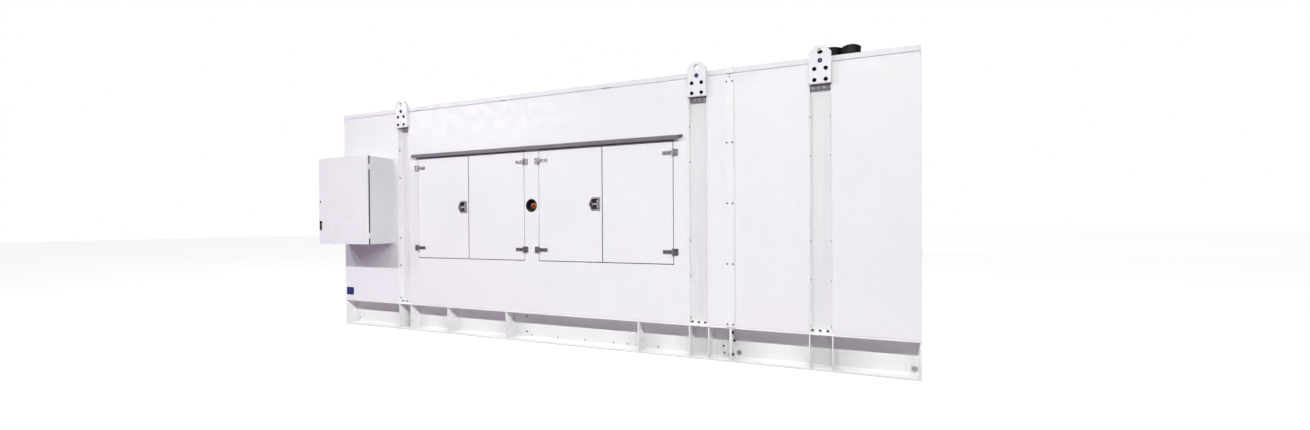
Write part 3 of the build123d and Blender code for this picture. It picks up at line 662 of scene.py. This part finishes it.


# Door frames: folded angles in the doorways, painted with the walls, each with a black rubber
# seal on its lip that the leaves press against, run out to the lip's edge to paint the shade in the
# gaps, and black strips along its head and sill that paint the shade of the door gaps.
def swept_rim(work, low, high, profile):
    """A mitred rim round an upright rectangle, from (inset, y) pairs of its section."""
    corners = []
    for far_x, far_z in ((0, 0), (1, 0), (1, 1), (0, 1)):
        ring = []
        for inset, y in profile:
            ring.append(work.verts.new((
                high[0] - inset if far_x else low[0] + inset, y,
                high[1] - inset if far_z else low[1] + inset)))
        corners.append(ring)
    for n in range(4):
        near, far = corners[n], corners[(n + 1) % 4]
        for m in range(len(profile)):
            work.faces.new((near[m - 1], near[m], far[m], far[m - 1]))


coat(canopy_paint, "door_frames")
# The seal reaches the lip's edge, so the gap under the leaves shows black: painted shade.
seal_and_shade_section = [(0.001, 0.0), (0.0225, 0.0), (0.0225, 0.0022), (0.0195, 0.0052),
                (0.0165, 0.0054), (0.0135, 0.0040), (0.0125, 0.0020), (0.001, 0.0016)]
doorway_places = (-2.002, -0.320)
work = bmesh.new()
for side in (-1, 1):
    for doorway_x in doorway_places:
        swept_rim(work, (doorway_x, 0.849), (doorway_x + 1.504, 2.006),
                  [(inset, side * (1.054 + stand)) for inset, stand in seal_and_shade_section])
        # Black strips along the head and sill: painted shade in the door gaps.
        for shade_strip_z in (0.8492, 2.0045):
            cut_sheet(work, (doorway_x + 0.002, side * 1.0995, shade_strip_z), (1, 0, 0),
                      (0, -side, 0), -side * 0.0014,
                      [(0.0, 0.0), (1.500, 0.0), (1.500, 0.036), (0.0, 0.036)])
piece("door_seals_and_shade_strips", work, rubber, "housing", 60)

# Door leaves: flat steel trays in canopy white. Inside, each carries a grooved slab of dark
# sound-absorbing foam held by plated discs; the latched leaves have a rubber edge bead, made wide
# enough to paint the shade of the gap between the leaves.
coat(canopy_paint, "door_1", "door_2", "door_3", "door_4", "rear_doors")
foam = bpy.data.materials.new("acoustic_foam")
foam.use_nodes = True
foam_pores = ramp(foam.node_tree, noise(foam.node_tree, 700.0, 4.0), 0.4, 0.6)
feed(foam.node_tree,
     blend_colours(foam.node_tree, foam_pores, (0.018, 0.018, 0.02), (0.055, 0.055, 0.06)),
     foam.node_tree.nodes["Principled BSDF"].inputs["Base Color"])
feed(foam.node_tree, ramp(foam.node_tree, foam_pores, 0.0, 1.0, 0.98, 0.85),
     foam.node_tree.nodes["Principled BSDF"].inputs["Roughness"])
bumped(foam.node_tree, foam_pores, 0.0012)


def foam_slab(work, low, high, y_back, side, pitch=0.036):
    """A slab with V grooves across it, on the inner face of a leaf or wall."""
    count = int((high[1] - low[1]) / pitch)
    pitch = (high[1] - low[1]) / count
    section = [(y_back, low[1]), (y_back - side * 0.003, low[1])]
    for groove in range(count):
        base = low[1] + groove * pitch
        section += [(y_back - side * 0.0072, base + 0.35 * pitch),
                    (y_back - side * 0.0072, base + 0.65 * pitch),
                    (y_back - side * 0.003, base + pitch)]
    section.append((y_back, high[1]))
    rings = [[work.verts.new((x, y, z)) for y, z in section] for x in (low[0], high[0])]
    for n in range(len(section)):
        work.faces.new((rings[0][n - 1], rings[0][n], rings[1][n], rings[1][n - 1]))
    for ring in rings:
        work.faces.new(ring)


leaf_places = (("door_1", -1.994, -1.254), ("door_2", -1.246, -0.506),
               ("door_3", -0.312, 0.428), ("door_4", 0.436, 1.176))
for leaf_body, leaf_low, leaf_high in leaf_places:
    work = bmesh.new()
    foam_slab(work, (leaf_low + 0.075, 0.935), (leaf_high - 0.075, 1.920), -1.060, -1)
    piece(leaf_body + "_foam", work, foam, leaf_body)
    work = bmesh.new()
    for share_x in (0.2, 0.5, 0.8):
        for height in (1.02, 1.24, 1.62, 1.84):
            disc_x = leaf_low + share_x * (leaf_high - leaf_low)
            turned(work, [(0.017, 0.0), (0.017, 0.0012), (0.006, 0.0004), (0.0, 0.0002)],
                   (disc_x, -1.0529, height), (0, 1, 0), 18)
    piece(leaf_body + "_foam_discs", work, zinc, leaf_body)
# A wide black bead on each latched leaf: rubber edge and painted shade of the middle gap.
for leaf_body, edge_x in (("door_1", -1.254), ("door_3", 0.428)):
    work = bmesh.new()
    bead_and_shade_section = [(0.0, -1.0985), (0.0045, -1.0980), (0.0068, -1.0950), (0.0068, -1.0860),
                    (0.0045, -1.0820), (0.0, -1.0810)]
    rings = [[work.verts.new((edge_x + x, y, z)) for x, y in bead_and_shade_section]
             for z in (0.862, 1.993)]
    for n in range(len(bead_and_shade_section)):
        work.faces.new((rings[0][n - 1], rings[0][n], rings[1][n], rings[1][n - 1]))
    for ring in rings:
        work.faces.new(ring)
    piece(leaf_body + "_edge_bead_and_shade", work, rubber, leaf_body, 60)

# Strap hinges: laser-cut stainless straps and wall brackets with rolled knuckles, fixed with
# countersunk screws; the pins have low domed heads.
stainless = bare_metal("stainless_steel", (0.50, 0.47, 0.51), (0.28, 0.26, 0.29), 0.31)
strap_nodes = ["rear_straps", "rear_hinge_brackets", "front_hinge_brackets"]
strap_nodes += [f"door_{number}_straps" for number in (1, 2, 3, 4)]
coat(stainless, *strap_nodes)


def ease_edges(width, *names):
    """Rounds the sharp edges of carried-over nodes a little."""
    for name in names:
        eased = nodes[name].modifiers.new("eased_edges", "BEVEL")
        eased.width = width
        eased.segments = 2
        eased.angle_limit = math.radians(50)


ease_edges(0.0009, *strap_nodes)


def sunk_screw(work, foot, out, radius):
    """A countersunk head that stands a hair proud, with a socket."""
    turned(work, [(radius, 0.0), (radius * 0.96, 0.0004), (radius * 0.45, 0.0005),
                  (radius * 0.40, 0.0002), (0.0, 0.0002)], foot, out, 16)


hinge_places = ((-1.998, 1), (-0.502, -1), (-0.316, 1), (1.180, -1))
hinge_heights = (0.968, 1.887)
wall_screws = bmesh.new()
pin_heads = bmesh.new()
rear_screws = bmesh.new()
for number, (hinge_x, way) in enumerate(hinge_places, start=1):
    strap_screws = bmesh.new()
    for hinge_z in hinge_heights:
        for reach in (0.038, 0.084):
            sunk_screw(strap_screws, (hinge_x + way * reach, -1.106, hinge_z), (0, -1, 0), 0.0065)
            sunk_screw(rear_screws, (hinge_x + way * reach, 1.106, hinge_z), (0, 1, 0), 0.0065)
        for side in (-1, 1):
            for rise in (-0.019, 0.019):
                sunk_screw(wall_screws, (hinge_x - way * 0.034, side * 1.106, hinge_z + rise),
                           (0, side, 0), 0.006)
            for end in (-1, 1):
                turned(pin_heads, [(0.0078, 0.0), (0.0078, 0.0016), (0.0055, 0.0034), (0.0, 0.004)],
                       (hinge_x, side * 1.110, hinge_z + end * 0.031), (0, 0, end), 18)
    piece(f"door_{number}_strap_screws", strap_screws, dark_zinc, f"door_{number}")
piece("bracket_screws", wall_screws, dark_zinc, "housing")
piece("rear_strap_screws", rear_screws, dark_zinc, "housing")
piece("hinge_pin_heads", pin_heads, stainless, "housing")

# Drip gutters: folded sheet over each side's doors, painted mid grey, with a sloping top that
# holds dust and a row of small screws.
gutter_paint = painted("gutter_grey", (0.165, 0.148, 0.176), 0.5, 200.0, 0.003, 0.4, 0.2,
                       0.35, 0.35)
coat(gutter_paint, "gutters")
work = bmesh.new()
for side in (-1, 1):
    for screw_x in (-1.880, -1.135, -0.390, 0.355, 1.033, 1.100):
        button_screw(work, (screw_x, side * 1.122, 2.0414), (0, side * 0.363, 0.932), 0.0055)
piece("gutter_screws", work, dark_zinc, "housing")

# Recessed latches: pressed pans of satin steel on a black rubber gasket that paints the shade
# round the rim, each with a black pad on its floor that paints the shade and dark reflection in
# the pan, a folding T-handle with a key barrel in its bar and a rivet at each corner of the rim.
# The rear pans carry the same handles, folded in.
satin_steel = bare_metal("satin_steel", (0.80, 0.78, 0.81), (0.60, 0.58, 0.61), 0.36, 0.0002)
coat(satin_steel, "latch_dish_1", "latch_dish_3", "latch_handle_1", "latch_handle_3",
     "rear_latches")
ease_edges(0.0015, "latch_handle_1", "latch_handle_3")
door_middle = 1.4275
latch_width, latch_shoulder, latch_half_height = 0.124, 0.090, 0.064


def latch_outline(right, grow):
    """The five corners of a latch's rim, set outward by grow."""
    half = latch_half_height + grow
    return [(right - latch_width - grow, 0.0), (right - latch_shoulder, -half),
            (right + grow, -half), (right + grow, half), (right - latch_shoulder, half)]


def latch_shade_rubber(work, right, side):
    """The black gasket round a latch's rim and the black pad on its pan's floor: painted shade
    round the rim, painted shade and dark reflection in the pan.
    """
    rings = [[work.verts.new((x, side * y, door_middle + z))
              for x, z in latch_outline(right, grow)]
             for grow, y in ((0.0036, 1.1001), (0.0036, 1.1012), (-0.001, 1.1012),
                             (-0.001, 1.1001))]
    for near, far in zip(rings, rings[1:] + rings[:1]):
        for n in range(5):
            work.faces.new((near[n - 1], near[n], far[n], far[n - 1]))
    cut_sheet(work, (0, side * 1.0782, door_middle), (1, 0, 0), (0, 0, 1), -side * 0.0009,
              latch_outline(right, -0.0125))


def latch_rivets(work, right, side):
    """Rivets in the corners of a latch's rim."""
    for rivet_x, rise in ((right - 0.005, -0.0585), (right - 0.005, 0.0585),
                          (right - 0.088, -0.0585), (right - 0.088, 0.0585),
                          (right - 0.117, 0.0)):
        turned(work, [(0.0030, 0.0), (0.0026, 0.0010), (0.0, 0.0015)],
               (rivet_x, side * 1.102, door_middle + rise), (0, side, 0), 12)


def key_barrel(work, pivot_x, side):
    """A round key barrel let into the middle of the handle's bar."""
    turned(work, [(0.0062, 0.0), (0.0062, 0.0012), (0.0050, 0.0018), (0.0044, 0.0018),
                  (0.0044, 0.0010), (0.0, 0.0010)],
           (pivot_x + 0.057, side * 1.096, door_middle), (0, side, 0), 18)


def soft_box(work, low, high, edge):
    """A block with its edges eased."""
    made = bmesh.ops.create_cube(work, size=1.0)["verts"]
    bmesh.ops.scale(work, verts=made, vec=[far - near for near, far in zip(low, high)])
    bmesh.ops.translate(work, verts=made,
                        vec=[(near + far) / 2 for near, far in zip(low, high)])
    rims = {rim for dot in made for rim in dot.link_edges}
    bmesh.ops.bevel(work, geom=list(rims), offset=edge, segments=2, affect="EDGES")


rear_handles = bmesh.new()
rear_rivets = bmesh.new()
rear_shade_rubber = bmesh.new()
for number, latch_right in ((1, -1.277), (3, 0.405)):
    pivot_x = latch_right - 0.086
    work = bmesh.new()
    latch_rivets(work, latch_right, -1)
    piece(f"latch_rivets_{number}", work, satin_steel, f"door_{number}")
    work = bmesh.new()
    # Gasket and pad: painted shade round the rim, painted shade and dark reflection in the pan.
    latch_shade_rubber(work, latch_right, -1)
    piece(f"latch_shade_rubber_{number}", work, rubber, f"door_{number}")
    work = bmesh.new()
    key_barrel(work, pivot_x, -1)
    piece(f"key_barrel_{number}", work, dark_zinc, f"latch_handle_{number}")
    latch_rivets(rear_rivets, latch_right, 1)
    latch_shade_rubber(rear_shade_rubber, latch_right, 1)
    key_barrel(rear_rivets, pivot_x, 1)
    soft_box(rear_handles, (pivot_x, 1.088, 1.4205), (pivot_x + 0.062, 1.096, 1.4345), 0.0015)
    soft_box(rear_handles, (pivot_x + 0.050, 1.088, 1.3855),
             (pivot_x + 0.064, 1.096, 1.4695), 0.0015)
piece("rear_latch_handles", rear_handles, satin_steel, "housing")
piece("rear_latch_rivets", rear_rivets, satin_steel, "housing")
piece("rear_latch_rubber", rear_shade_rubber, rubber, "housing")


# Emergency stop: a black moulded cup sunk in the middle pier, with a yellow collar and a red
# mushroom button, all in glossy plastic.
def moulded(name, colour, tint, roughness, relief=0.0003):
    """Moulded plastic with a fine skin and faint flow marks."""
    finish = bpy.data.materials.new(name)
    finish.use_nodes = True
    tree = finish.node_tree
    surface = tree.nodes["Principled BSDF"]
    skin = effect_node(tree, powder, Grain=500.0, Wave=0.15)
    dirt = effect_node(tree, settled, Dust=0.25, Runs=0.04)
    clean = blend_colours(tree, skin.outputs["Mottle"], tint, colour)
    feed(tree, blend_colours(tree, dirt.outputs["Cover"], clean, dust_colour),
         surface.inputs["Base Color"])
    feed(tree, ramp(tree, skin.outputs["Gloss"], 0.0, 1.0, roughness, roughness + 0.1),
         surface.inputs["Roughness"])
    bumped(tree, skin.outputs["Height"], relief)
    return finish


coat(moulded("cup_plastic", (0.016, 0.016, 0.018), (0.010, 0.010, 0.011), 0.34), "stop_cup")
coat(moulded("collar_yellow", (0.60, 0.36, 0.02), (0.52, 0.31, 0.015), 0.3), "stop_collar")
button_red = moulded("button_red", (0.45, 0.010, 0.013), (0.38, 0.007, 0.010), 0.22)
work = bmesh.new()
turned(work, [(0.009, 0.0), (0.009, 0.0155), (0.0185, 0.0160), (0.0200, 0.0175),
              (0.0200, 0.0215), (0.0190, 0.0248), (0.0160, 0.0275), (0.0110, 0.0292),
              (0.0050, 0.0299), (0.0, 0.030)],
       (-0.409, -1.059, door_middle), (0, -1, 0), 40)
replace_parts(piece("mushroom_button", work, button_red, "stop_button", 50),
            "stop_button")

# Control cabinet: a folded sheet steel box and door in fine-textured grey-white, the box darker
# than the door to paint the shade on its side, with a rubber gasket clipped over the box's edge
# whose wide edging paints the shade of the door gap, a round key lock and a black swing lever.
# Its front is bare.
# The box's grey-white is a darker copy of the door's: painted shade on the box's side.
for cabinet_part, cabinet_tone_and_shade in (
    ("control_cabinet", (0.690, 0.672, 0.712)), ("cabinet_door", (0.850, 0.842, 0.868))
):
    coat(painted(cabinet_part + "_paint", cabinet_tone_and_shade, 0.5, 420.0, 0.0020, 0.5, 0.045, 0.3, 0.04),
         cabinet_part)
coat(dark_zinc, "cabinet_handle")
ease_edges(0.0015, "cabinet_handle")
# The gasket's wide edging paints the shade of the gap between door and box.
gasket_and_shade_section = [(-0.0012, -1.3665), (-0.0001, -1.3665), (-0.0001, -1.3745),
                  (0.018, -1.3745), (0.018, -1.3780), (0.014, -1.3794), (0.002, -1.3794),
                  (-0.0012, -1.3780)]
work = bmesh.new()
swept_rim(work, (-3.199, 1.016), (-2.399, 2.016), gasket_and_shade_section)
piece("cabinet_gasket_and_shade", work, rubber, "housing", 60)
work = bmesh.new()
turned(work, [(0.0115, 0.0), (0.0115, 0.0008), (0.0095, 0.0018), (0.0085, 0.0018),
              (0.0085, -0.0002), (0.0030, -0.0002), (0.0030, 0.0012), (0.0, 0.0012)],
       (-3.164, -1.406, 1.512), (0, -1, 0), 24)
piece("cabinet_lock", work, dark_zinc, "cabinet_door")
work = bmesh.new()
turned(work, [(0.0080, -0.0006), (0.0080, -0.0002), (0.0060, 0.0), (0.0, 0.0)],
       (-3.164, -1.412, 1.272), (0, -1, 0), 20)
piece("lever_boss", work, dark_zinc, "cabinet_handle")
work = bmesh.new()
for hinge_z in (1.126, 1.906):
    turned(work, [(0.0048, 0.0), (0.0048, 0.0010), (0.0030, 0.0020), (0.0, 0.0022)],
           (-2.393, -1.377, hinge_z - 0.045), (0, 0, -1), 14)
piece("cabinet_hinge_caps", work, zinc, "housing")

# End walls and air louvres: the same trays round a framed grille of sloping blades, which
# breathe the dust that lies on each blade.
coat(canopy_paint, "end_walls")
louvre_paint = painted("louvre_white", (0.78, 0.775, 0.80), 0.42, 240.0, 0.0024, 0.5, 0.05,
                       0.7, 0.2)
coat(louvre_paint, "louvres")
work = bmesh.new()
for end in (-1, 1):
    for side in (-1, 1):
        for step in range(7):
            turned(work, [(0.006, 0.0), (0.0055, 0.0018), (0.0, 0.0028)],
                   (end * 3.224, side * 0.710, 0.720 + 0.2333 * step), (0, -side, 0), 14)
piece("louvre_rivets", work, zinc, "housing")

# Roof: two shallow trays of folded sheet with a shadow groove under the fascia. Screws hold the
# edges, dust lies on top and rain marks run down the fascia.
roof_paint = painted("roof_white", (0.790, 0.778, 0.812), 0.44, 220.0, 0.0030, 1.0, 0.06,
                     0.55, 0.12)
coat(roof_paint, "main_roof", "end_roof")
work = bmesh.new()
for side in (-1, 1):
    for step in range(11):
        roof_x = -3.10 + 0.62 * step
        if abs(roof_x - 1.718) > 0.08:
            button_screw(work, (roof_x, side * 1.060, 2.600), (0, 0, 1), 0.008)
for end in (-1, 1):
    for step in range(3):
        button_screw(work, (end * 3.20, -0.53 + 0.53 * step, 2.600), (0, 0, 1), 0.008)
piece("roof_screws", work, zinc, "housing")

# Exhaust outlets: rolled steel stacks in black heat-resistant paint, a wide flat-topped one and
# a slimmer domed one, each with a rolled rim and a clamp band, on one screwed flashing.
soot = painted("exhaust_black", (0.0050, 0.0070, 0.0055), 0.55, 300.0, 0.0030, 0.5, 0.35,
               0.10, 0.10)
soot.node_tree.nodes["Principled BSDF"].inputs["Specular IOR Level"].default_value = 0.2
coat(soot, "exhaust_outlets")
work = bmesh.new()
for stack_x, stack_y, stack_radius, rim_z in (
    (2.550, 0.075, 0.150, 3.063), (2.754, -0.075, 0.100, 3.027)
):
    rolled = []
    for step in range(9):
        turn = math.pi * (step / 8 - 0.5)
        rolled.append((stack_radius - 0.002 + 0.005 * math.cos(turn), 0.005 * math.sin(turn)))
    turned(work, rolled, (stack_x, stack_y, rim_z), (0, 0, 1), 64, True)
    band = [(stack_radius - 0.002, -0.014), (stack_radius + 0.003, -0.014),
            (stack_radius + 0.005, -0.010), (stack_radius + 0.005, 0.010),
            (stack_radius + 0.003, 0.014), (stack_radius - 0.002, 0.014)]
    turned(work, band, (stack_x, stack_y, 2.86), (0, 0, 1), 64, True)
    for rise in (-0.006, 0.006):
        hex_head(work, (stack_x + stack_radius * 0.4, stack_y - stack_radius * 0.94, 2.86 + rise),
                 (0, -1, 0), 0.010)
piece("stack_rims", work, soot, "housing")
work = bmesh.new()
for screw_x in (2.375, 2.505, 2.635, 2.765, 2.880):
    for screw_y in (-0.200, 0.250):
        button_screw(work, (screw_x, screw_y, 2.614), (0, 0, 1), 0.006)
for screw_y in (-0.087, 0.025, 0.137):
    for screw_x in (2.375, 2.880):
        button_screw(work, (screw_x, screw_y, 2.614), (0, 0, 1), 0.006)
piece("flashing_screws", work, dark_zinc, "housing")
